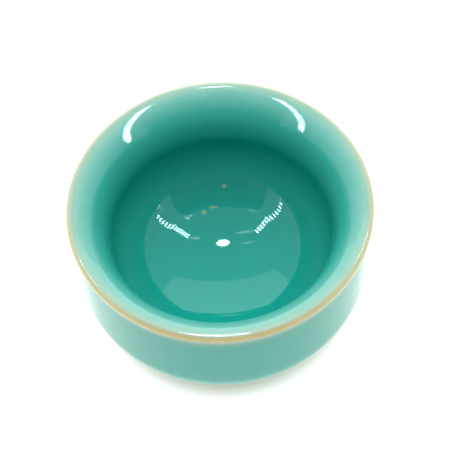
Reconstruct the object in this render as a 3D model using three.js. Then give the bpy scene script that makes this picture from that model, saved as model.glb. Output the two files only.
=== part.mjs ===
// Rice bowl: a thick-walled stoneware bowl with a flared lip and a turned foot ring, covered in
// a glassy celadon glaze. Every piece is a solid of revolution about +Z. Units are millimetres,
// and the origin is the centre of the plane that the foot rests on.
//
// The bowl is one fired clay body under four coats of glaze. Each coat is a thin shell that lies
// face to face on the clay, and its ends meet the ends of the coats beside it:
//   inner_glaze      the inside, from the middle of the floor up to the lip
//   lip_glaze        the rounded edge, where the glaze has run thin
//   outer_glaze      the outside, from the lip down to the glaze line on the foot ring
//   foot_well_glaze  the recess inside the foot ring
// Bare clay shows only on the foot ring, below the two glaze lines.
import * as THREE from 'three';

// ---- Driving dimensions ----------------------------------------------------------------

// Overall
const HEIGHT = 54.5;            // resting plane to the top of the lip
const RIM_RADIUS = 56;          // outermost edge of the lip
const WALL_THICKNESS = 14;      // with its glaze, where the inside is narrowest

// Lip
const LIP_OVERHANG = 0.8;       // how far the lip stands proud of the outer wall
const EDGE_RADIUS = 1.4;        // the rounded edge itself
const ROLL_RADIUS = 14.5;       // from the edge down into the bowl
const FLARE_RADIUS = 30;        // from the roll down to the inner wall
const ROLL_SLOPE = 58;          // degrees from level, where the roll meets the flare
const NECK_RADIUS = 12;         // hollow under the lip, outside

// Inside
const FLOOR_THICKNESS = 4.2;    // with its glaze, at the middle of the floor
const FLOOR_RADIUS = 81;        // dish of the floor
const CORNER_RADIUS = 22.8;     // between the floor and the inner wall

// Outside and foot ring
const HEEL_RADIUS = 17;         // lower outer corner of the body
const FOOT_HEIGHT = 3.9;
const FOOT_RADIUS = 32;         // outer radius of the foot ring at the resting plane
const FOOT_WIDTH = 4.2;         // width of the foot ring at the resting plane
const FOOT_TAPER = 6;           // degrees, the sides of the foot ring from upright
const FOOT_ROUND = 0.5;         // rounding of the foot ring's two lower edges
const FOOT_FILLET = 1.2;        // between the foot ring and the underside of the body
const WELL_DEPTH = 3;           // recess inside the foot ring
const WELL_FILLET = 1;          // between the foot ring and the recess

// Glaze
const GLAZE_THICKNESS = 0.7;    // on the floor and the walls
const LIP_GLAZE_THICKNESS = 0.3;
const GLAZE_TAPER = 9;          // distance beside the lip over which the glaze thickens
const WELL_GLAZE_THICKNESS = 0.5;
const GLAZE_LINE = 1.6;         // height of both glaze lines above the resting plane

// Facets
const SEGMENTS = 36;            // around the bowl; a multiple of 4 keeps the full width
const FACET_DEPTH = 0.12;       // how far a facet may lie from the arc that it stands for
const LARGEST_TURN = 45;        // degrees between neighbouring points on a small arc

// ---- Section ---------------------------------------------------------------------------

const radians = THREE.MathUtils.degToRad;
const UP = radians(90);
const OUTWARD = 0;
const DOWN = radians(-90);
const INWARD_ABOVE = radians(180);      // the inner wall, reached by turning up from the floor
const INWARD_BELOW = radians(-180);     // the foot ring's inner side, reached from underneath

// The bowl's surface in the R-Z half plane, drawn as a walk that keeps the solid on its right.
// The walk knows the direction of the surface's outward normal, as an angle from +R to +Z.
class Walk {
  constructor(r, z, normal) {
    this.r = r;
    this.z = z;
    this.normal = normal;
    this.travelled = 0;
    this.samples = [];
    this.mark();
  }

  // Keeps the present point and returns its index.
  mark() {
    this.samples.push({ r: this.r, z: this.z, normal: this.normal, travelled: this.travelled });
    return this.samples.length - 1;
  }

  // A straight stretch.
  run(length) {
    this.r += length * Math.sin(this.normal);
    this.z -= length * Math.cos(this.normal);
    this.travelled += length;
    return this.mark();
  }

  // A straight stretch that ends at the given height.
  runToHeight(z) {
    return this.run((this.z - z) / Math.cos(this.normal));
  }

  // A level stretch that ends on the axis.
  runToAxis() {
    this.travelled += this.r;
    this.r = 0;
    return this.mark();
  }

  // An arc to a new normal: hollow where the normal turns anticlockwise, round where clockwise.
  turn(toNormal, radius) {
    const fromNormal = this.normal;
    const side = toNormal > fromNormal ? 1 : -1;
    const centreR = this.r + side * radius * Math.cos(fromNormal);
    const centreZ = this.z + side * radius * Math.sin(fromNormal);
    const start = this.travelled;
    const facetTurn = Math.min(2 * Math.acos(1 - FACET_DEPTH / radius), radians(LARGEST_TURN));
    const steps = Math.ceil(Math.abs(toNormal - fromNormal) / facetTurn);
    let last;
    for (let i = 1; i <= steps; i++) {
      this.normal = fromNormal + (toNormal - fromNormal) * i / steps;
      this.r = centreR - side * radius * Math.cos(this.normal);
      this.z = centreZ - side * radius * Math.sin(this.normal);
      this.travelled = start + radius * Math.abs(this.normal - fromNormal);
      last = this.mark();
    }
    return last;
  }
}

const wallRadius = RIM_RADIUS - LIP_OVERHANG;
const innerRadius = wallRadius - WALL_THICKNESS;
const floorHeight = WELL_DEPTH + FLOOR_THICKNESS;

// The inside is a chain of tangent arcs: floor, corner, flare, roll and edge. The roll's slope
// at the edge is the one that makes the chain as wide as the wall and the lip.
const rollSlope = radians(ROLL_SLOPE);
const edgeSlope = Math.asin(
  (innerRadius + FLARE_RADIUS - (FLARE_RADIUS - ROLL_RADIUS) * Math.sin(rollSlope)
    - (RIM_RADIUS - EDGE_RADIUS)) / (ROLL_RADIUS - EDGE_RADIUS));
const flareHeight = HEIGHT - EDGE_RADIUS - (ROLL_RADIUS - EDGE_RADIUS) * Math.cos(edgeSlope)
  - (FLARE_RADIUS - ROLL_RADIUS) * Math.cos(rollSlope);
const floorReach = Math.asin((innerRadius - CORNER_RADIUS) / (FLOOR_RADIUS - CORNER_RADIUS));
const cornerHeight = floorHeight + FLOOR_RADIUS
  - (FLOOR_RADIUS - CORNER_RADIUS) * Math.cos(floorReach);

// The inner wall is the straight stretch between the corner and the flare. It is upright where
// the flare's centre is the higher one, and otherwise it leans out by just as much as the two
// arcs' common tangent does.
const wallLength = Math.abs(flareHeight - cornerHeight);
const wallLean = 2 * Math.atan2(Math.max(0, cornerHeight - flareHeight),
  FLARE_RADIUS + CORNER_RADIUS);

// The neck turns as far as it takes to come in by the overhang.
const neckTurn = Math.acos(1 - LIP_OVERHANG / (EDGE_RADIUS + NECK_RADIUS));

// Both sides of the foot ring are straight tapers through the resting plane at the foot ring's
// two radii. Each gives the radius at which an arc of its neighbour starts or ends.
const taper = radians(FOOT_TAPER);
const footInnerRadius = FOOT_RADIUS - FOOT_WIDTH;
const roundInset = FOOT_ROUND * (1 - Math.sin(taper)) / Math.cos(taper);
const roundTop = FOOT_ROUND * (1 - Math.sin(taper));
const wellFilletBase = WELL_DEPTH - WELL_FILLET * (1 - Math.sin(taper));

// The underside is level from the heel's arc to the foot ring's fillet. A foot ring too wide for
// that leaves no level part: the heel's arc then stops where the fillet's arc touches it, with
// the fillet's centre as far from the heel's centre as the two radii together.
const heelCentreR = wallRadius - HEEL_RADIUS;
const heelCentreZ = FOOT_HEIGHT + HEEL_RADIUS;
const filletCentreR = (z) => FOOT_RADIUS + (FOOT_FILLET + z * Math.sin(taper)) / Math.cos(taper);
const levelLength = heelCentreR - filletCentreR(FOOT_HEIGHT - FOOT_FILLET);

function heelEnd() {
  if (levelLength >= 0) return DOWN;
  const lean = Math.tan(taper);
  const across = filletCentreR(0) - heelCentreR;
  const a = 1 + lean * lean;
  const b = lean * across - heelCentreZ;
  const c = across * across + heelCentreZ * heelCentreZ - (HEEL_RADIUS + FOOT_FILLET) ** 2;
  const z = (-b - Math.sqrt(b * b - a * c)) / a;
  return Math.atan2(z - heelCentreZ, filletCentreR(z) - heelCentreR);
}

const walk = new Walk(0, floorHeight, UP);
walk.turn(UP + floorReach, FLOOR_RADIUS);
walk.turn(INWARD_ABOVE - wallLean, CORNER_RADIUS);
walk.run(wallLength);
walk.turn(UP + rollSlope, FLARE_RADIUS);
const lipInside = walk.turn(UP + edgeSlope, ROLL_RADIUS);
walk.turn(UP, EDGE_RADIUS);
walk.turn(OUTWARD, EDGE_RADIUS);
const lipOutside = walk.turn(OUTWARD - neckTurn, EDGE_RADIUS);
walk.turn(OUTWARD, NECK_RADIUS);
walk.runToHeight(heelCentreZ);
walk.turn(heelEnd(), HEEL_RADIUS);
if (levelLength > 0) walk.run(levelLength);
walk.turn(OUTWARD - taper, FOOT_FILLET);
const outerLine = walk.runToHeight(GLAZE_LINE);
walk.runToHeight(roundTop);
walk.turn(DOWN, FOOT_ROUND);
walk.run(walk.r - (footInnerRadius + roundInset));
walk.turn(INWARD_BELOW + taper, FOOT_ROUND);
const wellLine = walk.runToHeight(GLAZE_LINE);
walk.runToHeight(wellFilletBase);
walk.turn(DOWN, WELL_FILLET);
const wellMiddle = walk.runToAxis();
const samples = walk.samples;

// ---- Glaze -----------------------------------------------------------------------------

// The glaze is thin over the edge and thickens smoothly on both sides of it.
function glazeThickness(index) {
  if (index >= wellLine) return WELL_GLAZE_THICKNESS;
  const here = samples[index].travelled;
  const fromLip = Math.max(samples[lipInside].travelled - here,
    here - samples[lipOutside].travelled);
  const share = THREE.MathUtils.smoothstep(fromLip, 0, GLAZE_TAPER);
  return THREE.MathUtils.lerp(LIP_GLAZE_THICKNESS, GLAZE_THICKNESS, share);
}

function surfacePoint(index) {
  return new THREE.Vector2(samples[index].r, samples[index].z);
}

// The point of the clay that lies under a point of the glazed surface.
function clayPoint(index) {
  const { normal } = samples[index];
  const under = new THREE.Vector2(Math.cos(normal), Math.sin(normal));
  under.multiplyScalar(-glazeThickness(index)).add(surfacePoint(index));
  if (samples[index].r === 0) under.x = 0;
  return under;
}

// Points first to last, in either order.
function stretch(pointAt, first, last) {
  const step = Math.sign(last - first);
  const points = [];
  for (let i = first; i !== last + step; i += step) points.push(pointAt(i));
  return points;
}

// A coat's section: out along its surface and back along the clay. A coat that reaches the axis
// starts and ends there, and a ring closes on its first point.
function coat(first, last) {
  if (last === wellMiddle) {
    return [...stretch(clayPoint, last, first), ...stretch(surfacePoint, first, last)];
  }
  const section = [...stretch(surfacePoint, first, last), ...stretch(clayPoint, last, first)];
  if (first !== 0) section.push(section[0].clone());
  return section;
}

// The clay's section: under the glaze down to the outer glaze line, bare round the foot ring to
// the inner glaze line, and under the glaze again to the axis.
const claySection = [
  ...stretch(clayPoint, 0, outerLine),
  ...stretch(surfacePoint, outerLine, wellLine),
  ...stretch(clayPoint, wellLine, wellMiddle),
];

// ---- Pieces ----------------------------------------------------------------------------

const clay = new THREE.MeshStandardMaterial({ color: 0xb58a62, roughness: 0.85, metalness: 0 });
const deepGlaze = new THREE.MeshStandardMaterial({ color: 0x2b9480, roughness: 0.06, metalness: 0 });
const amberGlaze = new THREE.MeshStandardMaterial({ color: 0xd0b578, roughness: 0.1, metalness: 0 });
const paleGlaze = new THREE.MeshStandardMaterial({ color: 0x86c6b2, roughness: 0.06, metalness: 0 });

// Turns a section about +Z. A lathe turns about +Y, so it is tipped up afterwards.
function turned(name, section, material) {
  const geometry = new THREE.LatheGeometry([...section].reverse(), SEGMENTS);
  geometry.rotateX(UP);
  const mesh = new THREE.Mesh(geometry, material);
  mesh.name = name;
  return mesh;
}

const bowl = new THREE.Group();
bowl.name = 'rice_bowl';
bowl.add(
  turned('clay_body', claySection, clay),
  turned('inner_glaze', coat(0, lipInside), deepGlaze),
  turned('lip_glaze', coat(lipInside, lipOutside), amberGlaze),
  turned('outer_glaze', coat(lipOutside, outerLine), paleGlaze),
  turned('foot_well_glaze', coat(wellLine, wellMiddle), paleGlaze),
);

export default bowl;
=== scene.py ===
"""Rice bowl: a turned stoneware body under four coats of celadon glaze, on a pale studio floor.

The body and each coat are closed solids of revolution about +Z. One outline of the glazed bowl
gives them all: the clay's surface is that outline moved inwards by the glaze's thickness, and a
coat is the part of the outline from one end to the other, closed along the clay below it.
Lengths are metres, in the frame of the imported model.
"""
import functools
import math
import typing

import bpy
import numpy as np
from bpy.props import FloatProperty, FloatVectorProperty, IntProperty, PointerProperty
from mathutils import Matrix, Vector


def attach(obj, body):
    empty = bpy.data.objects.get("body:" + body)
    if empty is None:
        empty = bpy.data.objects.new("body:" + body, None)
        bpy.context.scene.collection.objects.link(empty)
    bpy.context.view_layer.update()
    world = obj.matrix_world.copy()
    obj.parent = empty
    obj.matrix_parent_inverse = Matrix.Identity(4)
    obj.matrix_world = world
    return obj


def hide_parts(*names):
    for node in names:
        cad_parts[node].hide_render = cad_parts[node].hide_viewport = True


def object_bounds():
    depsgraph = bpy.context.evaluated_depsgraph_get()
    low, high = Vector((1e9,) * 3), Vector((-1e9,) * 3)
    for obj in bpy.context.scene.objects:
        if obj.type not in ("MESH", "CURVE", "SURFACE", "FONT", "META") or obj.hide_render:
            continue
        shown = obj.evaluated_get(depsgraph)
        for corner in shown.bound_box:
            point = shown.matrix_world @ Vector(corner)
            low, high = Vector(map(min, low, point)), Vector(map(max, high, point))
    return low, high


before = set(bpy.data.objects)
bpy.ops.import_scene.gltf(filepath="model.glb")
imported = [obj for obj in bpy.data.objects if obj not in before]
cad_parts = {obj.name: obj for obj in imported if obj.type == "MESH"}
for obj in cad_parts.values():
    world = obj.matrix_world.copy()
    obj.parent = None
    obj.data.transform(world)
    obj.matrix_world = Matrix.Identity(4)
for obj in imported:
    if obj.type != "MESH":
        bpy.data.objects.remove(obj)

bl_info = {
    "name": "Rice Bowl",
    "version": (1, 0, 0),
    "blender": (4, 5, 0),
    "location": "3D View > Sidebar > Rice Bowl",
    "description": "Builds a glazed rice bowl around its packed model and sets a studio round it",
    "category": "Add Mesh",
}

CAD_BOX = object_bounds()
CAD_HIGH = CAD_BOX[1]           # its far upper corner: rim radius, rim radius, height
BODY = "root"
MM = 0.001

UP = math.radians(90)
OUTWARD = 0.0
DOWN = -UP
INWARD_ABOVE = 2 * UP       # the inner wall, reached by turning up from the floor
INWARD_BELOW = -2 * UP      # the foot ring's inner side, reached from underneath

LIP_DISTANCE = "lip_distance"   # attribute: millimetres along the surface from the lip's ridge
ON_AXIS = 1e-9                  # a radius below this is zero

WHITE = (1.0, 1.0, 1.0, 1.0)
BLACK = (0.0, 0.0, 0.0, 1.0)

Length = functools.partial(FloatProperty, unit="LENGTH", subtype="DISTANCE", precision=5, min=0.0)
Angle = functools.partial(FloatProperty, unit="ROTATION", subtype="ANGLE")
Colour = functools.partial(FloatVectorProperty, subtype="COLOR", size=3, min=0.0, max=1.0)
Share = functools.partial(FloatProperty, subtype="FACTOR", min=0.0, max=1.0)


# ---- Settings --------------------------------------------------------------------------

class BowlSizes(bpy.types.PropertyGroup):
    """Sizes of the bowl's outline, and how finely it is turned."""

    rim_radius: Length(
        name="Rim radius", description="Outermost edge of the lip", default=CAD_HIGH.x)
    height: Length(
        name="Height", description="From the resting plane to the top of the lip", default=CAD_HIGH.z)
    wall: Length(
        name="Wall", description="Thickness where the inside is narrowest", default=14 * MM)
    overhang: Length(
        name="Lip overhang", description="How far the lip stands proud of the wall", default=0.8 * MM)
    edge_radius: Length(
        name="Edge radius", description="Rounded edge of the lip", default=1.4 * MM)
    roll_radius: Length(
        name="Roll radius", description="From the edge down into the bowl", default=14.5 * MM)
    flare_radius: Length(
        name="Flare radius", description="From the roll down to the inner wall", default=30 * MM)
    roll_slope: Angle(
        name="Roll slope", description="Slope where roll and flare meet", default=math.radians(58))
    neck_radius: Length(
        name="Neck radius", description="Hollow under the lip, outside", default=12 * MM)
    floor_thickness: Length(
        name="Floor thickness", description="At the middle of the floor", default=4.2 * MM)
    floor_radius: Length(
        name="Floor radius", description="Dish of the floor", default=81 * MM)
    corner_radius: Length(
        name="Corner radius", description="Between the floor and the wall", default=22.8 * MM)
    heel_radius: Length(
        name="Heel radius", description="Lower outer corner of the body", default=17 * MM)
    foot_height: Length(
        name="Foot height", description="Height of the foot ring", default=3.9 * MM)
    foot_radius: Length(
        name="Foot radius", description="Outside of the foot ring", default=32 * MM)
    foot_width: Length(
        name="Foot width", description="Width of the foot ring where it rests", default=4.2 * MM)
    foot_taper: Angle(
        name="Foot taper", description="Sides of the foot ring from upright", default=math.radians(6))
    foot_round: Length(
        name="Foot round", description="Rounding of the foot ring's lower edges", default=0.5 * MM)
    foot_fillet: Length(
        name="Foot fillet", description="Between foot ring and underside", default=1.2 * MM)
    well_depth: Length(
        name="Well depth", description="Recess inside the foot ring", default=3 * MM)
    well_fillet: Length(
        name="Well fillet", description="Between foot ring and recess", default=1 * MM)
    glaze: Length(
        name="Glaze", description="Thickness of the glaze on floor and walls", default=0.7 * MM)
    lip_glaze: Length(
        name="Lip glaze", description="Thickness of the glaze over the edge", default=0.3 * MM)
    glaze_taper: Length(
        name="Glaze taper", description="Distance over which the glaze thickens", default=9 * MM)
    well_glaze: Length(
        name="Well glaze", description="Thickness of the glaze in the recess", default=0.5 * MM)
    glaze_line: Length(
        name="Glaze line", description="Height of the lower ends of the glaze", default=1.6 * MM)
    ridge_facing: Angle(
        name="Ridge facing", description="Where the glaze is thinnest, from level",
        default=math.radians(45))
    segments: IntProperty(
        name="Segments", description="Faces around the bowl", default=192, min=24, max=512)
    sample_turn: Angle(
        name="Sample turn", description="Largest turn between points on an arc",
        default=math.radians(3))
    sample_length: Length(
        name="Sample length", description="Largest step along the outline", default=0.9 * MM)


class BowlFinish(bpy.types.PropertyGroup):
    """Colours and surface of the clay and the glaze."""

    clay: Colour(
        name="Clay", description="Bare fired clay", default=(0.42, 0.25, 0.13))
    clay_toast: Colour(
        name="Toasted clay", description="Clay flushed brown beside the glaze",
        default=(0.28, 0.12, 0.045))
    floor: Colour(
        name="Floor", description="Glaze on the floor of the bowl", default=(0.01, 0.51, 0.425))
    corner: Colour(
        name="Corner", description="Where the floor turns up", default=(0.03, 0.43, 0.35))
    # Partly painted shade: the throat band is darkened to stand for the shade on the far wall of the
    # hollow.
    throat: Colour(
        name="Throat", description="Deep glaze on the narrowest part", default=(0.0, 0.24, 0.185))
    flare: Colour(
        name="Flare", description="Where the wall leans outwards", default=(0.055, 0.48, 0.40))
    inner_lip: Colour(
        name="Inner lip", description="Pale glaze inside the lip", default=(0.21, 0.60, 0.51))
    cream: Colour(
        name="Cream", description="Palest glaze beside the edge", default=(0.38, 0.63, 0.51))
    straw: Colour(
        name="Straw", description="Where green turns to yellow", default=(0.61, 0.68, 0.48))
    amber: Colour(
        name="Amber", description="Glaze run thin over the edge", default=(0.70, 0.60, 0.30))
    honey: Colour(
        name="Honey", description="Outer side of the edge", default=(0.64, 0.49, 0.17))
    rust: Colour(
        name="Rust", description="Thinnest glaze, outside the edge", default=(0.38, 0.31, 0.08))
    # A narrow dark line under the lip: the thin glaze's brown, darkened as painted shade under the
    # overhang.
    shade: Colour(
        name="Shade", description="Narrow line under the lip", default=(0.20, 0.23, 0.09))
    neck: Colour(
        name="Neck", description="Hollow under the lip", default=(0.15, 0.31, 0.22))
    outside: Colour(
        name="Outside", description="Outer wall", default=(0.02, 0.295, 0.235))
    heel: Colour(
        name="Heel", description="Lower outer corner", default=(0.06, 0.34, 0.28))
    speck: Colour(
        name="Speck", description="Iron specks in the glaze", default=(0.52, 0.74, 0.38))
    roughness: Share(
        name="Roughness", description="Of the glaze", default=0.02)


class BowlStage(bpy.types.PropertyGroup):
    """Floor, light and camera."""

    floor: Share(
        name="Floor", description="Whiteness of the floor", default=0.9)
    surround: FloatProperty(
        name="Surround", description="Brightness of the white room", default=1.06, min=0.0)
    back: FloatProperty(
        name="Back panel", description="Brightness of the white panel behind", default=2.2, min=0.0)
    sides: FloatProperty(
        name="Side lights", description="Brightness of the soft lights left and right", default=2.1,
        min=0.0)
    front: FloatProperty(
        name="Front panel", description="Brightness of the dim opening in front", default=0.25,
        min=0.0)
    lamps: FloatProperty(
        name="Lamps", description="Brightness of the small lamps", default=40.0, min=0.0)
    floor_glow: FloatProperty(
        name="Floor glow", description="Light of its own that the lit floor gives", default=0.8,
        min=0.0)
    camera_distance: Length(
        name="Camera distance", description="From the point it aims at", default=0.4849)
    camera_elevation: Angle(
        name="Camera elevation", description="Above the horizon", default=math.radians(57.88))
    camera_roll: Angle(
        name="Camera roll", description="Turn about the line of sight", default=math.radians(-3.59))
    focal_length: FloatProperty(
        name="Focal length", description="Of the camera, in millimetres", default=104.0, min=1.0)


# ---- Outline ---------------------------------------------------------------------------

class Walk:
    """An outline in the radius-height plane, drawn as a walk with the solid on its right.

    The walk knows which way the surface faces, as an angle from outward through up. A straight
    stretch is its start plus shares of its length along the surface. An arc is its centre minus
    the radius along the facing angles, and that centre lies one radius in front of a surface
    that turns hollow and one radius behind a surface that turns round.
    """

    def __init__(self, radius, height, facing, sizes):
        self.turn_step = sizes.sample_turn
        self.length_step = sizes.sample_length
        self.samples = np.array([[radius, height, facing, 0.0]])

    @property
    def radius(self):
        return self.samples[-1, 0]

    @property
    def walked(self):
        return self.samples[-1, 3]

    def keep(self, *columns):
        """Adds samples of radius, height, facing and distance walked. Returns the last one's row."""
        rows = np.stack(np.broadcast_arrays(*columns), axis=-1)
        self.samples = np.vstack([self.samples, rows])
        return len(self.samples) - 1

    def run(self, length, shares=None):
        """A straight stretch."""
        radius, height, facing, walked = self.samples[-1]
        if shares is None:
            shares = np.linspace(0, 1, max(2, math.ceil(abs(length) / self.length_step)) + 1)
        along = length * shares[1:]
        return self.keep(
            radius + along * math.sin(facing), height - along * math.cos(facing), facing,
            walked + along)

    def run_to_height(self, height, shares=None):
        """A straight stretch that ends at a height."""
        _, start, facing, _ = self.samples[-1]
        return self.run((start - height) / math.cos(facing), shares)

    def turn(self, facing, arc_radius):
        """An arc to a new facing."""
        radius, height, start, walked = self.samples[-1]
        swing = abs(facing - start)
        steps = max(
            1, math.ceil(swing / self.turn_step), math.ceil(swing * arc_radius / self.length_step))
        side = math.copysign(1.0, facing - start)
        facings = np.linspace(start, facing, steps + 1)[1:]
        centre_radius = radius + side * arc_radius * math.cos(start)
        centre_height = height + side * arc_radius * math.sin(start)
        return self.keep(
            centre_radius - side * arc_radius * np.cos(facings),
            centre_height - side * arc_radius * np.sin(facings),
            facings, walked + arc_radius * np.abs(facings - start))


BEAD_STEPS = 13     # steps along the rounded lower end of a coat


class Strip(typing.NamedTuple):
    """A stretch of a section."""

    points: np.ndarray
    facing: np.ndarray
    distance: np.ndarray    # from the lip's ridge, in millimetres


class Outline:
    """The glazed bowl's outline with its marks, the glaze over it and the clay below."""

    def __init__(self, sizes):
        # Slopes and heights where the arcs join, so that the lip ends at the rim and the height.
        wall_radius = sizes.rim_radius - sizes.overhang
        inner_radius = wall_radius - sizes.wall
        roll_slope = UP + sizes.roll_slope
        bend = sizes.flare_radius - sizes.roll_radius
        edge_slope = math.asin(
            (inner_radius + sizes.flare_radius - bend * math.sin(sizes.roll_slope)
             - (sizes.rim_radius - sizes.edge_radius)) / (sizes.roll_radius - sizes.edge_radius))
        flare_height = (
            sizes.height - sizes.edge_radius
            - (sizes.roll_radius - sizes.edge_radius) * math.cos(edge_slope)
            - bend * math.cos(sizes.roll_slope))
        dish = sizes.floor_radius - sizes.corner_radius
        floor_reach = math.asin((inner_radius - sizes.corner_radius) / dish)
        floor_height = sizes.well_depth + sizes.floor_thickness
        corner_height = floor_height + sizes.floor_radius - dish * math.cos(floor_reach)
        lean = 2 * math.atan2(
            max(0.0, corner_height - flare_height), sizes.flare_radius + sizes.corner_radius)
        neck_turn = math.acos(1 - sizes.overhang / (sizes.edge_radius + sizes.neck_radius))
        taper = sizes.foot_taper
        foot_inset = sizes.foot_round * (1 - math.sin(taper)) / math.cos(taper)
        foot_inner = sizes.foot_radius - sizes.foot_width
        fillet_centre = sizes.foot_radius + (
            sizes.foot_fillet + (sizes.foot_height - sizes.foot_fillet) * math.sin(taper)
        ) / math.cos(taper)
        bead_in = np.sin(np.linspace(0, UP, BEAD_STEPS + 1))
        bead_out = 1 - bead_in[::-1]

        # Inside, from the middle of the floor up to the roll of the lip.
        walk = Walk(0.0, floor_height, UP, sizes)
        walk.turn(UP + floor_reach, sizes.floor_radius)
        walk.turn(INWARD_ABOVE - lean, sizes.corner_radius)
        walk.run(abs(flare_height - corner_height))
        walk.turn(roll_slope, sizes.flare_radius)
        self.lip_inside = walk.turn(UP + edge_slope, sizes.roll_radius)
        # Over the edge of the lip, and down the outside to the glaze line.
        walk.turn(UP, sizes.edge_radius)
        top = walk.walked
        walk.turn(OUTWARD, sizes.edge_radius)
        self.lip_outside = walk.turn(-neck_turn, sizes.edge_radius)
        walk.turn(OUTWARD, sizes.neck_radius)
        walk.run_to_height(sizes.foot_height + sizes.heel_radius)
        walk.turn(DOWN, sizes.heel_radius)
        walk.run(walk.radius - fillet_centre)
        walk.turn(-taper, sizes.foot_fillet)
        walk.run_to_height(sizes.glaze_line + sizes.glaze * math.cos(taper))
        self.outer_line = walk.run_to_height(sizes.glaze_line, bead_in)
        # Round the bare foot, and up and in to the middle of the recess.
        walk.run_to_height(sizes.foot_round * (1 - math.sin(taper)))
        walk.turn(DOWN, sizes.foot_round)
        walk.run(walk.radius - (foot_inner + foot_inset))
        walk.turn(INWARD_BELOW + taper, sizes.foot_round)
        self.well_line = walk.run_to_height(sizes.glaze_line)
        walk.run_to_height(sizes.glaze_line + sizes.well_glaze * math.cos(taper), bead_out)
        walk.run_to_height(sizes.well_depth - sizes.well_fillet * (1 - math.sin(taper)))
        walk.turn(DOWN, sizes.well_fillet)
        self.middle = walk.run(walk.radius)

        self.points = walk.samples[:, :2].copy()
        self.facing = walk.samples[:, 2]
        self.walked = walk.samples[:, 3]
        self.points[[0, -1], 0] = 0.0
        ridge = top + sizes.edge_radius * (UP - sizes.ridge_facing)
        self.lip_distance = (self.walked - ridge) / MM
        self.thickness = self._glaze_thickness(sizes)
        self.clay = self._clay_surface()
        self.glazed, self.glazed_facing = self._glaze_surface(sizes)

    def _glaze_thickness(self, sizes):
        """The edge's thickness, rising to the wall's by a smooth step of the distance beside it."""
        beside = np.maximum(
            self.walked[self.lip_inside] - self.walked, self.walked - self.walked[self.lip_outside])
        share = np.clip(beside / sizes.glaze_taper, 0, 1)
        share = share * share * (3 - 2 * share)
        thickness = sizes.lip_glaze + (sizes.glaze - sizes.lip_glaze) * share
        under_foot = self.facing < DOWN
        inside_foot = np.arange(len(share)) >= self.well_line
        return np.where(under_foot | inside_foot, sizes.well_glaze, thickness)

    def _clay_surface(self):
        """The outline moved back by the glaze's thickness. Where the foot ring is bare, its sides
        move back as far and its resting face stays: the move is the thickness times the share of
        the facing that is level."""
        row = np.arange(len(self.facing))
        bare = (row > self.outer_line) & (row < self.well_line)
        depth = self.thickness * np.where(bare, np.abs(np.cos(self.facing)), 1.0)
        return self._moved_back(depth)

    def _glaze_surface(self, sizes):
        """The outline with each coat's lower end rounded off. Within one thickness of the glaze
        line the surface is a quarter circle that meets the clay at the line."""
        tip_outer = np.clip(
            1 - (self.walked[self.outer_line] - self.walked) / sizes.glaze, 0, 1)
        tip_outer[self.outer_line + 1:] = 0
        tip_well = np.clip(
            1 - (self.walked - self.walked[self.well_line]) / sizes.well_glaze, 0, 1)
        tip_well[:self.well_line] = 0
        depth = (sizes.glaze * (1 - np.sqrt(1 - tip_outer ** 2))
                 + sizes.well_glaze * (1 - np.sqrt(1 - tip_well ** 2)))
        return self._moved_back(depth), self.facing - np.arcsin(tip_outer) + np.arcsin(tip_well)

    def _moved_back(self, depth):
        inwards = -np.stack([np.cos(self.facing), np.sin(self.facing)], axis=1)
        moved = self.points + inwards * depth[:, None]
        moved[[0, -1], 0] = 0.0
        return moved

    def glaze_strip(self, first, last):
        """The visible side of a coat."""
        rows = slice(first, last + 1)
        return Strip(self.glazed[rows], self.glazed_facing[rows], self.lip_distance[rows])

    def clay_strip(self, first, last, reverse=False):
        """The clay's surface, or the side of a coat that lies on it. Its facing is square to the
        way from one point to the next but one."""
        rows = slice(first, last + 1)
        points = self.clay[rows]
        way = np.gradient(points, axis=0)
        facing = np.arctan2(way[:, 0], -way[:, 1])
        # Whole turns are taken off, so that it lies within half a turn of the outline's facing.
        facing = self.facing[rows] + (facing - self.facing[rows] + math.pi) % math.tau - math.pi
        distance = self.lip_distance[rows]
        if reverse:
            return Strip(points[::-1], facing[::-1] + INWARD_ABOVE, distance[::-1])
        return Strip(points, facing, distance)

    def end_strip(self, row, ahead):
        """A coat's end face, square to the surface, between the surface and the clay."""
        ends = np.array([self.glazed[row], self.clay[row]])
        facing = np.full(2, self.facing[row] + (DOWN if ahead else UP))
        distance = np.full(2, self.lip_distance[row])
        return Strip(ends if ahead else ends[::-1], facing, distance)


# ---- Turned meshes ---------------------------------------------------------------------

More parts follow.
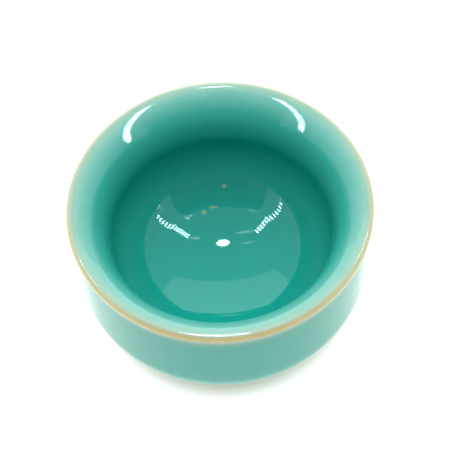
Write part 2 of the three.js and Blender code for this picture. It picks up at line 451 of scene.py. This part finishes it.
def turned_mesh(name, strips, segments, closed_ring):
    """A solid of revolution. A point of the section at radius r, height z becomes the circle
    (r cos a, r sin a, z) over the turning angle a, and a point on the axis stays one vertex.
    The section ends where it starts if it is a closed ring, and on the axis if it isn't. Each
    strip's own facing gives the corner normals, so strips meet in a clean edge."""
    points = np.vstack([strips[0].points[:1]] + [strip.points[1:] for strip in strips])
    distance = np.concatenate([strips[0].distance[:1]] + [strip.distance[1:] for strip in strips])
    facing_from = np.concatenate([strip.facing[:-1] for strip in strips])
    facing_to = np.concatenate([strip.facing[1:] for strip in strips])
    if closed_ring:
        points = points[:-1]
        distance = distance[:-1]
    count = len(points)
    on_axis = points[:, 0] < ON_AXIS
    size = np.where(on_axis, 1, segments)
    first = np.concatenate([[0], np.cumsum(size)[:-1]])
    row = np.repeat(np.arange(count), size)
    turn = np.arange(size.sum()) - first[row]
    angle = math.tau * turn / segments
    vertices = np.stack(
        [points[row, 0] * np.cos(angle), points[row, 0] * np.sin(angle), points[row, 1]], axis=1)

    start = np.arange(len(facing_from))
    end = (start + 1) % count
    here = np.arange(segments)
    after = (here + 1) % segments

    def corner(rows, turns):
        return first[rows][:, None] + np.where(on_axis[rows][:, None], 0, turns[None, :])

    def normal(facings, turns):
        angles = math.tau * turns / segments
        facings = facings[:, None]
        return np.stack(
            [np.cos(facings) * np.cos(angles), np.cos(facings) * np.sin(angles),
             np.sin(facings) + 0 * angles], axis=-1)

    corners = np.stack(
        [corner(start, here), corner(end, here), corner(end, after), corner(start, after)], axis=-1)
    normals = np.stack(
        [normal(facing_from, here), normal(facing_to, here), normal(facing_to, after),
         normal(facing_from, after)], axis=-2)
    drop_start = on_axis[start]
    drop_end = on_axis[end]
    whole = ~(drop_start | drop_end)
    faces = []
    face_normals = []
    for chosen, kept in ((whole, [0, 1, 2, 3]), (drop_start, [0, 1, 2]), (drop_end, [0, 1, 3])):
        faces += corners[chosen][..., kept].reshape(-1, len(kept)).tolist()
        face_normals.append(normals[chosen][..., kept, :].reshape(-1, 3))

    mesh = bpy.data.meshes.new(name)
    mesh.from_pydata(vertices, [], faces)
    mesh.polygons.foreach_set("use_smooth", np.ones(len(faces), bool))
    attribute = mesh.attributes.new(LIP_DISTANCE, "FLOAT", "POINT")
    attribute.data.foreach_set("value", distance[row].astype(np.float32))
    mesh.normals_split_custom_set(np.vstack(face_normals).tolist())
    return mesh


def add_object(name, data):
    """Puts a mesh, a light or a camera in the scene."""
    item = bpy.data.objects.new(name, data)
    bpy.context.scene.collection.objects.link(item)
    return item


def add_piece(name, mesh, material, node):
    """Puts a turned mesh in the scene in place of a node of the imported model."""
    mesh.materials.append(material)
    piece = add_object(name, mesh)
    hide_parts(node)
    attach(piece, BODY)


# ---- Materials -------------------------------------------------------------------------

class Value:
    """A node's output: a number, a vector or a colour. Arithmetic on a number adds Math nodes."""

    def __init__(self, finish, socket):
        self.finish = finish
        self.socket = socket

    def _math(self, operation, *operands):
        return self.finish.node(
            "ShaderNodeMath", {"operation": operation}, dict(enumerate(operands)))

    def __add__(self, other):
        return self._math("ADD", self, other)

    def __radd__(self, other):
        return self._math("ADD", other, self)

    def __sub__(self, other):
        return self._math("SUBTRACT", self, other)

    def __rsub__(self, other):
        return self._math("SUBTRACT", other, self)

    def __mul__(self, other):
        return self._math("MULTIPLY", self, other)

    def __rmul__(self, other):
        return self._math("MULTIPLY", other, self)

    def __truediv__(self, other):
        return self._math("DIVIDE", self, other)

    def __pow__(self, other):
        return self._math("POWER", self, other)

    def __abs__(self):
        return self._math("ABSOLUTE", self)

    def step(self, low, high):
        """0 below low, 1 above high and a smooth step between. With high below low it falls."""
        return self.finish.node(
            "ShaderNodeMapRange", {"interpolation_type": "SMOOTHSTEP"},
            {"Value": self, "From Min": low, "From Max": high})


class Finish:
    """A material built on one Principled shader."""

    def __init__(self, name, **constants):
        self.material = bpy.data.materials.new(name)
        self.material.use_nodes = True
        self.tree = self.material.node_tree
        self.shader = self.tree.nodes["Principled BSDF"]
        for socket, value in constants.items():
            self.shader.inputs[socket.replace("_", " ")].default_value = value

    def node(self, kind, settings=None, inputs=None, output=0):
        """Adds a node: its settings or a ramp's stops first, then its sockets' values or links."""
        node = self.tree.nodes.new(kind)
        for name, value in (settings or {}).items():
            if name == "stops":
                self._set_stops(node.color_ramp, value)
            else:
                setattr(node, name, value)
        for key, value in (inputs or {}).items():
            self.feed(node.inputs[key], value)
        return Value(self, node.outputs[output])

    def _set_stops(self, ramp, stops):
        while len(ramp.elements) < len(stops):
            ramp.elements.new(0.0)
        for element, (position, colour) in zip(ramp.elements, stops):
            element.position = position
            element.color = (*colour, 1.0)

    def feed(self, socket, value):
        """Gives a socket a number or colour, or a link."""
        if isinstance(value, Value):
            self.tree.links.new(value.socket, socket)
        else:
            socket.default_value = value

    def set(self, socket, value):
        self.feed(self.shader.inputs[socket], value)

    @functools.cached_property
    def place(self):
        """A point's place on the object, in metres."""
        return self.node("ShaderNodeTexCoord", output="Object")

    def attribute(self, name):
        return self.node("ShaderNodeAttribute", {"attribute_name": name}, output="Fac")

    def noise(self, scale, detail=2.0, roughness=0.5):
        """Noise from 0 to 1 through the object, with a scale in waves to the metre."""
        return self.node(
            "ShaderNodeTexNoise", {"noise_dimensions": "3D"},
            {"Vector": self.place, "Scale": scale, "Detail": detail, "Roughness": roughness})

    def noise_along(self, position, scale, detail=2.0):
        """Noise that varies with one number only, so it runs round the bowl in rings."""
        return self.node(
            "ShaderNodeTexNoise", {"noise_dimensions": "1D"},
            {"W": position, "Scale": scale, "Detail": detail})

    def mix(self, share, first, second):
        """Colours mixed by a share from 0 to 1."""
        return self.node(
            "ShaderNodeMix", {"data_type": "RGBA"},
            {"Factor": share, 6: first, 7: second}, output=2)

    def shade(self, colour, tint, share):
        """A colour multiplied by a tint, by a share from 0 to 1."""
        return self.node(
            "ShaderNodeMix", {"data_type": "RGBA", "blend_type": "MULTIPLY"},
            {"Factor": share, 6: colour, 7: tint}, output=2)

    def parts(self, vector):
        """The x, y and z of a vector."""
        split = self.node("ShaderNodeSeparateXYZ", inputs={"Vector": vector})
        return [Value(self, socket) for socket in split.socket.node.outputs]

    def ramp(self, position, stops):
        """A colour from a ramp of stops, each a position from 0 to 1 and a colour."""
        return self.node("ShaderNodeValToRGB", {"stops": stops}, {"Fac": position})

    def bump(self, height, depth):
        """A Bump node on a height from 0 to 1, which stands for that depth of relief."""
        normal = self.node(
            "ShaderNodeBump", inputs={"Height": height, "Distance": depth, "Strength": 1.0})
        self.set("Normal", normal)


# Where each colour of the finish lies, in millimetres from the ridge: inside the bowl first.
GLAZE_BANDS = (
    (-100, "floor"),
    (-58, "floor"),
    (-42, "corner"),
    # the throat band, darkened in part as painted shade
    (-26, "throat"),
    (-12, "flare"),
    (-5, "inner_lip"),
    (-2, "cream"),
    (-0.7, "straw"),
    (0, "amber"),
    (0.7, "honey"),
    (1.6, "rust"),
    # the line under the lip, darkened in part as painted shade
    (2.6, "shade"),
    (4.2, "neck"),
    (8, "outside"),
    (28, "outside"),
    (38, "heel"),
    (100, "heel"),
)
RAMP_REACH = 100.0                      # millimetres from the ridge to either end of the bands
REFLECTED_TINT = (0.65, 1.0, 1.0, 1.0)  # takes red out of what the glaze reflects
WASH = (0.88, 0.93, 0.92, 1.0)          # tint of the glaze's deeper patches and rings
GLAZE_RELIEF = 0.0012 * MM
GRAIN_RELIEF = 0.06 * MM
DARK_GRAIN = (0.16, 0.09, 0.05, 1.0)    # coarse grains in the clay

# Iron specks on the floor of the bowl: place, and half sizes across and along, in millimetres.
SPECKS = (
    (-6.6, 24.0, 1.0, 1.0),
    (-2.9, 25.9, 1.9, 0.55),
    (2.0, 33.0, 0.8, 0.6),
)
SPECK_SHARE = 0.7       # how much a speck hides the glaze


def on_ramp(distance):
    """A distance from the ridge as a position on the ramp, where the ridge is in the middle."""
    return (distance + RAMP_REACH) / (2 * RAMP_REACH)


def banded_colour(finish, distance, settings):
    """The glaze's bands over the distance from the ridge. Within 6 mm of the ridge a slow noise
    shifts them by up to 0.3 mm, so the amber edge wavers."""
    near_ridge = abs(distance).step(6.0, 0.5)
    shifted = distance + (finish.noise(60.0) - 0.5) * (0.6 * near_ridge)
    stops = [(on_ramp(mm), getattr(settings, colour)) for mm, colour in GLAZE_BANDS]
    return finish.ramp(on_ramp(shifted), stops)


def specked_colour(finish, distance, colour, settings):
    """A colour with the iron specks over it. A speck is where the distance from its middle, in
    half sizes, stays under about one, and a fine noise on it makes the edge ragged."""
    across, along, _ = finish.parts(finish.place)
    ragged = 1.2 * (finish.noise(900.0, detail=3.0) - 0.5)
    on_floor = distance.step(-40.0, -45.0)
    for x, y, half_across, half_along in SPECKS:
        from_middle = (((across / MM - x) / half_across) ** 2
                       + ((along / MM - y) / half_along) ** 2) ** 0.5
        speck = (from_middle + ragged).step(1.15, 0.7) * on_floor
        colour = finish.mix(speck * SPECK_SHARE, colour, (*settings.speck, 1.0))
    return colour


def glaze_finish(name, settings):
    """Celadon glaze: its colour follows how thick it lies, which goes with the distance from the
    lip's ridge; its throat band and the line under the lip are darkened further as painted shade.
    Patches and rings of a deeper tone wash over it, and a few iron specks show in it.
    Its surface keeps faint rings and ripples."""
    finish = Finish(name, IOR=1.5, Specular_Tint=REFLECTED_TINT)
    distance = finish.attribute(LIP_DISTANCE)
    colour = banded_colour(finish, distance, settings)
    patches = finish.noise(180.0, detail=4.0, roughness=0.6).step(0.35, 0.75)
    wander = 6.0 * finish.noise(25.0)
    bands = finish.noise_along(distance + wander, 0.22, detail=3.0).step(0.3, 0.7)
    colour = finish.shade(colour, WASH, patches * 0.5 + bands * 0.5)
    finish.set("Base Color", specked_colour(finish, distance, colour, settings))
    rings = finish.noise_along(distance, 0.35)
    ripples = finish.noise(220.0)
    finish.bump(rings * 0.6 + ripples * 0.4, GLAZE_RELIEF)
    finish.set("Roughness", settings.roughness + 0.01 * finish.noise(90.0, detail=3.0))
    return finish.material


def clay_finish(settings):
    """Fired clay: buff, toasted brown towards the glaze, with coarse dark grains."""
    finish = Finish("fired_clay", IOR=1.5)
    _, _, height = finish.parts(finish.place)
    toast = (height / MM + finish.noise(300.0, detail=3.0)).step(0.9, 2.2)
    buff = finish.mix(toast, (*settings.clay, 1.0), (*settings.clay_toast, 1.0))
    grain = finish.noise(2500.0, detail=4.0, roughness=0.7)
    finish.set("Base Color", finish.mix(grain.step(0.62, 0.75), buff, DARK_GRAIN))
    finish.set("Roughness", 0.75 + 0.2 * grain)
    finish.bump(grain, GRAIN_RELIEF)
    return finish.material


# ---- Studio ----------------------------------------------------------------------------

FLOOR_REACH = 2.0                       # half the floor's width
FLOOR_PAINTED_SHADOW = (0.30, 0.25, 0.19, 1.0)   # painted contact shadow: the floor's dimmer glow right under the bowl
PAINTED_SHADOW_INSIDE = 10 * MM                  # from the rim inwards, where the painted shadow starts to give way to the full glow
PAINTED_SHADOW_OUTSIDE = 1 * MM                  # from the rim outwards, where the painted shadow ends and the full glow is reached
CEILING = 0.3                           # height of the white room's ceiling
PANEL_FOOT = 0.02                       # height of its upright panels' lower edges
ROOM_FRONT = -0.50                      # where the ceiling ends in front of the bowl
AWAY = (0.0, 1.0, 0.0)                  # the direction from the viewer
AIM_RIGHT = 1.46 * MM                   # how far right of the axis the camera looks
AIM_BELOW = 15.83 * MM                  # and how far below the top of the lip


def flat_mesh(name, corners, material):
    """One flat face between its corners."""
    mesh = bpy.data.meshes.new(name)
    mesh.from_pydata(corners, [], [tuple(range(len(corners)))])
    mesh.materials.append(material)
    return mesh


def upright(left, right, along):
    """Corners of a panel that stands across the room, from its foot to the ceiling."""
    return [(left, along, CEILING), (right, along, CEILING), (right, along, PANEL_FOOT),
            (left, along, PANEL_FOOT)]


def overhead(*places):
    """Corners of a panel that lies in the ceiling."""
    return [(across, along, CEILING) for across, along in places]


def flat_panel(name, corners, brightness, soft_light=True, reflected=True):
    """A flat light panel that isn't seen directly. Without soft light it is there only for its
    reflection, and it can be left out of reflections."""
    finish = Finish(name, Base_Color=BLACK, Specular_IOR_Level=0.0, Emission_Color=WHITE,
                    Emission_Strength=brightness)
    panel = add_object(name, flat_mesh(name, corners, finish.material))
    panel.visible_camera = False
    panel.visible_diffuse = soft_light
    panel.visible_shadow = soft_light
    panel.visible_glossy = reflected


def add_lamp(name, place, aim, along, size, brightness, spread, shape="RECTANGLE"):
    """A small area lamp that shines a narrow cone at a point, its second side along a direction.
    It is there for its reflection: it isn't seen directly and gives no soft light. The spread is
    the cone's whole angle in degrees. Brightness is in the middle of the cone, where a narrow
    spread of half angle h makes it tan h / (tan h - h) times as bright, so the power is divided
    by that."""
    half = math.radians(spread) / 2
    light = bpy.data.lights.new(name, "AREA")
    light.shape = shape
    light.size, light.size_y = size
    light.spread = 2 * half
    light.energy = brightness * math.pi * size[0] * size[1] * (1 - half / math.tan(half))
    lamp = add_object(name, light)
    back = (Vector(place) - Vector(aim)).normalized()
    across = Vector(along).cross(back).normalized()
    turn = Matrix((across, back.cross(across), back)).transposed().to_4x4()
    lamp.matrix_world = Matrix.Translation(place) @ turn
    lamp.visible_camera = False
    lamp.visible_diffuse = False


class LampBar(typing.NamedTuple):
    """A bar of small lamps in columns. A column may be split into rows."""

    name: str
    columns: int
    first: tuple            # place of the first column
    last: tuple
    aim_first: tuple        # the point of the bowl where the first column is reflected
    aim_last: tuple
    along: tuple            # direction of a column
    size: tuple             # a lamp's size across and along its column
    rows: int = 1
    pitch: float = 0.0      # from row to row
    share: float = 1.0      # of the lamps' brightness
    spread: float = 40.0    # of a lamp's cone, in degrees

    def build(self, brightness):
        """Sets columns at equal steps from the first place to the last, and aims them likewise."""
        along = Vector(self.along).normalized()
        for column, way in enumerate(np.linspace(0, 1, self.columns)):
            place = Vector(self.first).lerp(Vector(self.last), way)
            aim = Vector(self.aim_first).lerp(Vector(self.aim_last), way)
            for row in range(self.rows):
                offset = along * (self.pitch * (row - (self.rows - 1) / 2))
                add_lamp(f"{self.name}_{column:02d}_{row}", place + offset, aim, along, self.size,
                         brightness * self.share, self.spread)


# Two bars above the bowl, each reflected in the floor as a ladder: wide-set, then close-set lamps.
FLOOR_BARS = (
    LampBar(
        "right_wide", 6, first=(0.0605, 0.0025, 0.0781), last=(0.0317, 0.0298, 0.1181),
        aim_first=(-0.030, 0.010, 0.013), aim_last=(-0.023, 0.0115, 0.0105),
        along=(-0.18, -0.95, 0.25), size=(0.0048, 0.0050)),
    LampBar(
        "right_close", 6, first=(0.0281, 0.0341, 0.1233), last=(0.0226, 0.0405, 0.1313),
        aim_first=(-0.022, 0.012, 0.010), aim_last=(-0.014, 0.0135, 0.009),
        along=(-0.39, -0.80, 0.48), size=(0.0010, 0.0039)),
    LampBar(
        "left_wide", 7, first=(-0.0625, -0.0047, 0.0731), last=(-0.0256, 0.0267, 0.1056),
        aim_first=(0.030, 0.013, 0.013), aim_last=(0.023, 0.014, 0.0105),
        along=(-0.28, 0.92, -0.27), size=(0.0044, 0.0043)),
    LampBar(
        "left_close", 5, first=(-0.0221, 0.0311, 0.1088), last=(-0.0183, 0.0365, 0.1123),
        aim_first=(0.022, 0.014, 0.010), aim_last=(0.015, 0.0145, 0.009),
        along=(-0.42, 0.77, -0.50), size=(0.0009, 0.0030)),
)
# Two longer bars, reflected in the far side of the lip as curved streaks of dots.
LIP_BARS = (
    LampBar(
        "right_far", 14, first=(0.066, 0.028, CEILING), last=(0.229, -0.080, 0.136),
        aim_first=(-0.024, 0.0464, 0.0537), aim_last=(-0.032, 0.034, 0.0495),
        along=(0.45, 0.80, -0.40), size=(0.0095, 0.0032), rows=4, pitch=0.0052, share=2.5,
        spread=15.0),
    LampBar(
        "left_far", 14, first=(-0.070, 0.013, CEILING), last=(-0.230, -0.082, 0.126),
        aim_first=(0.022, 0.047, 0.054), aim_last=(0.0317, 0.034, 0.0493),
        along=(-0.45, 0.80, -0.40), size=(0.0095, 0.0032), rows=4, pitch=0.0052, share=2.5,
        spread=15.0),
)
# Round lamps in the ceiling: name, place, the point they shine at, size, share of the lamps'
# brightness, and spread in degrees.
SINGLE_LAMPS = (
    ("disc", (-0.002, 0.0935), (0.000, 0.010, 0.0085), (0.0280, 0.0175), 1.0, 20.0),
    ("far_line", (-0.003, 0.052), (0.001, 0.053, 0.054), (0.030, 0.016), 1.0, 9.0),
    ("front_line", (0.004, 0.200), (0.0005, -0.0544, 0.0545), (0.040, 0.080), 25.0, 4.0),
    ("left_ridge", (-0.070, 0.100), (-0.034, -0.043, 0.0545), (0.080, 0.060), 3.0, 4.0),
    ("right_ridge", (0.070, 0.100), (0.0325, -0.044, 0.0545), (0.080, 0.060), 3.0, 4.0),
    ("right_glow", (0.057, 0.081), (-0.011, 0.013, 0.009), (0.024, 0.007), 0.07, 20.0),
    ("left_glow", (-0.051, 0.072), (0.009, 0.0145, 0.009), (0.044, 0.007), 0.07, 20.0),
    ("left_thread", (-0.056, 0.102), (0.010, 0.0105, 0.0085), (0.036, 0.002), 0.1, 20.0),
)
# Seams of the white ceiling, which show in the floor's reflection: name, and the two ends.
SEAMS = (
    ("left_seam", (-0.053, 0.114), (0.002, 0.144)),
    ("right_seam", (0.002, 0.144), (0.054, 0.102)),
)
SEAM_WIDTH = 2.6 * MM
SEAM_SHARE = 0.72       # of the white room's brightness


def lay_floor(stage):
    """Warm white paper with a glow of its own. As a painted contact shadow the glow is dimmer under
    the bowl, and grows to the full from a little inside the rim to a little outside it."""
    white = stage.floor
    finish = Finish("floor_paper", Base_Color=(white, 0.97 * white, 0.93 * white, 1.0),
                    Roughness=0.9, Specular_IOR_Level=0.1, Emission_Strength=stage.floor_glow)
    across, along, _ = finish.parts(finish.place)
    from_axis = (across ** 2 + along ** 2) ** 0.5
    # Painted contact shadow: the glow is dimmed under the bowl and comes back to the full past the
    # rim.
    out_of_painted_shadow = from_axis.step(CAD_HIGH.x - PAINTED_SHADOW_INSIDE, CAD_HIGH.x + PAINTED_SHADOW_OUTSIDE)
    finish.set("Emission Color", finish.mix(out_of_painted_shadow, FLOOR_PAINTED_SHADOW, WHITE))
    reach = FLOOR_REACH
    corners = [(-reach, -reach, 0), (reach, -reach, 0), (reach, reach, 0), (-reach, reach, 0)]
    floor = add_object("floor", flat_mesh("floor", corners, finish.material))


def light_room(scene, stage):
    """White light from all around."""
    world = bpy.data.worlds.new("white_room")
    scene.world = world
    world.use_nodes = True
    background = world.node_tree.nodes["Background"]
    background.inputs["Color"].default_value = WHITE
    background.inputs["Strength"].default_value = stage.surround


def set_panels(stage):
    """The room's bright back, its dim front and open side, its seams, and the soft side lights."""
    flat_panel("back_panel", upright(-0.125, 0.117, 0.225), stage.back)
    flat_panel("front_panel", overhead(
        (-0.10, 0.005), (0.10, 0.005), (0.62, ROOM_FRONT), (-0.59, ROOM_FRONT)), stage.front)
    flat_panel("front_opening", upright(-0.6, 0.6, ROOM_FRONT), stage.front, soft_light=False)
    half = SEAM_WIDTH / 2
    for name, (x1, y1), (x2, y2) in SEAMS:
        corners = overhead((x1, y1 - half), (x2, y2 - half), (x2, y2 + half), (x1, y1 + half))
        flat_panel(name, corners, SEAM_SHARE * stage.surround, soft_light=False)
    for name, side in (("left_light", -1), ("right_light", 1)):
        low = 0.30 * side
        high = 0.24 * side
        corners = [(low, -0.12, 0.20), (low, 0.20, 0.20), (high, 0.20, 0.50), (high, -0.12, 0.50)]
        flat_panel(name, corners, stage.sides, reflected=False)


def set_lamps(stage):
    """The bars and the round lamps that the glaze reflects."""
    for bar in (*FLOOR_BARS, *LIP_BARS):
        bar.build(stage.lamps)
    for name, place, aim, size, share, spread in SINGLE_LAMPS:
        add_lamp(name, (*place, CEILING), aim, AWAY, size, stage.lamps * share, spread, "ELLIPSE")


def aim_camera(scene, stage):
    """The camera looks from the front and above at a point a little below the lip."""
    target = Vector((AIM_RIGHT, 0.0, CAD_HIGH.z - AIM_BELOW))
    elevation = stage.camera_elevation
    back = Vector((0.0, -math.cos(elevation), math.sin(elevation)))
    right = Vector((1.0, 0.0, 0.0))
    up = back.cross(right)
    roll = stage.camera_roll
    right, up = (right * math.cos(roll) + up * math.sin(roll),
                 up * math.cos(roll) - right * math.sin(roll))
    turn = Matrix((right, up, back)).transposed().to_4x4()
    camera = add_object("camera", bpy.data.cameras.new("camera"))
    camera.matrix_world = Matrix.Translation(target + back * stage.camera_distance) @ turn
    camera.data.sensor_width = 36.0
    camera.data.lens = stage.focal_length
    camera.data.clip_start = 0.01
    camera.data.clip_end = 20.0
    scene.camera = camera


# ---- Operators -------------------------------------------------------------------------

class BOWL_OT_clay_body(bpy.types.Operator):
    """Turns the fired clay body"""

    bl_idname = "bowl.clay_body"
    bl_label = "Clay Body"

    def execute(self, context):
        sizes = context.scene.bowl_sizes
        finish = context.scene.bowl_finish
        line = Outline(sizes)
        strips = [line.clay_strip(0, line.middle)]
        mesh = turned_mesh("fired_body", strips, sizes.segments, closed_ring=False)
        add_piece("fired_body", mesh, clay_finish(finish), "clay_body")
        return {"FINISHED"}


class BOWL_OT_glaze_coats(bpy.types.Operator):
    """Turns the four coats of glaze: inside, lip, outside and foot well"""

    bl_idname = "bowl.glaze_coats"
    bl_label = "Glaze Coats"

    def execute(self, context):
        sizes = context.scene.bowl_sizes
        finish = context.scene.bowl_finish
        line = Outline(sizes)
        inside, outside = line.lip_inside, line.lip_outside
        coats = (
            ("inside_coat", "inner_glaze", "deep_glaze", False, [
                line.glaze_strip(0, inside),
                line.end_strip(inside, ahead=True),
                line.clay_strip(0, inside, reverse=True)]),
            ("lip_coat", "lip_glaze", "amber_glaze", True, [
                line.glaze_strip(inside, outside),
                line.end_strip(outside, ahead=True),
                line.clay_strip(inside, outside, reverse=True),
                line.end_strip(inside, ahead=False)]),
            ("outside_coat", "outer_glaze", "pale_glaze", True, [
                line.glaze_strip(outside, line.outer_line),
                line.clay_strip(outside, line.outer_line, reverse=True),
                line.end_strip(outside, ahead=False)]),
            ("foot_well_coat", "foot_well_glaze", "well_glaze", False, [
                line.clay_strip(line.well_line, line.middle, reverse=True),
                line.glaze_strip(line.well_line, line.middle)]),
        )
        for name, node, slot, closed_ring, strips in coats:
            mesh = turned_mesh(name, strips, sizes.segments, closed_ring)
            add_piece(name, mesh, glaze_finish(slot, finish), node)
        return {"FINISHED"}


class BOWL_OT_studio(bpy.types.Operator):
    """Lays the floor and sets the panels, lamps and camera"""

    bl_idname = "bowl.studio"
    bl_label = "Studio"

    def execute(self, context):
        scene = context.scene
        stage = scene.bowl_stage
        lay_floor(stage)
        light_room(scene, stage)
        set_panels(stage)
        set_lamps(stage)
        aim_camera(scene, stage)
        scene.view_settings.view_transform = "Standard"
        scene.view_settings.look = "None"
        return {"FINISHED"}


class BOWL_PT_panel(bpy.types.Panel):
    """Buttons for the pieces and the studio, and their settings"""

    bl_idname = "BOWL_PT_panel"
    bl_label = "Rice Bowl"
    bl_space_type = "VIEW_3D"
    bl_region_type = "UI"
    bl_category = "Rice Bowl"

    def draw(self, context):
        for operator in OPERATORS:
            self.layout.operator(operator.bl_idname)
        for name in SETTINGS:
            settings = getattr(context.scene, name)
            box = self.layout.box()
            for key in settings.__annotations__:
                box.prop(settings, key)


# ---- Registration ----------------------------------------------------------------------

SETTINGS = {"bowl_sizes": BowlSizes, "bowl_finish": BowlFinish, "bowl_stage": BowlStage}
OPERATORS = (BOWL_OT_clay_body, BOWL_OT_glaze_coats, BOWL_OT_studio)
CLASSES = (*SETTINGS.values(), *OPERATORS, BOWL_PT_panel)


def register():
    for cls in CLASSES:
        bpy.utils.register_class(cls)
    for name, group in SETTINGS.items():
        setattr(bpy.types.Scene, name, PointerProperty(type=group))


def unregister():
    for name in SETTINGS:
        delattr(bpy.types.Scene, name)
    for cls in reversed(CLASSES):
        bpy.utils.unregister_class(cls)


def main():
    register()
    bpy.ops.bowl.clay_body()
    bpy.ops.bowl.glaze_coats()
    bpy.ops.bowl.studio()


if __name__ == "__main__":
    main()
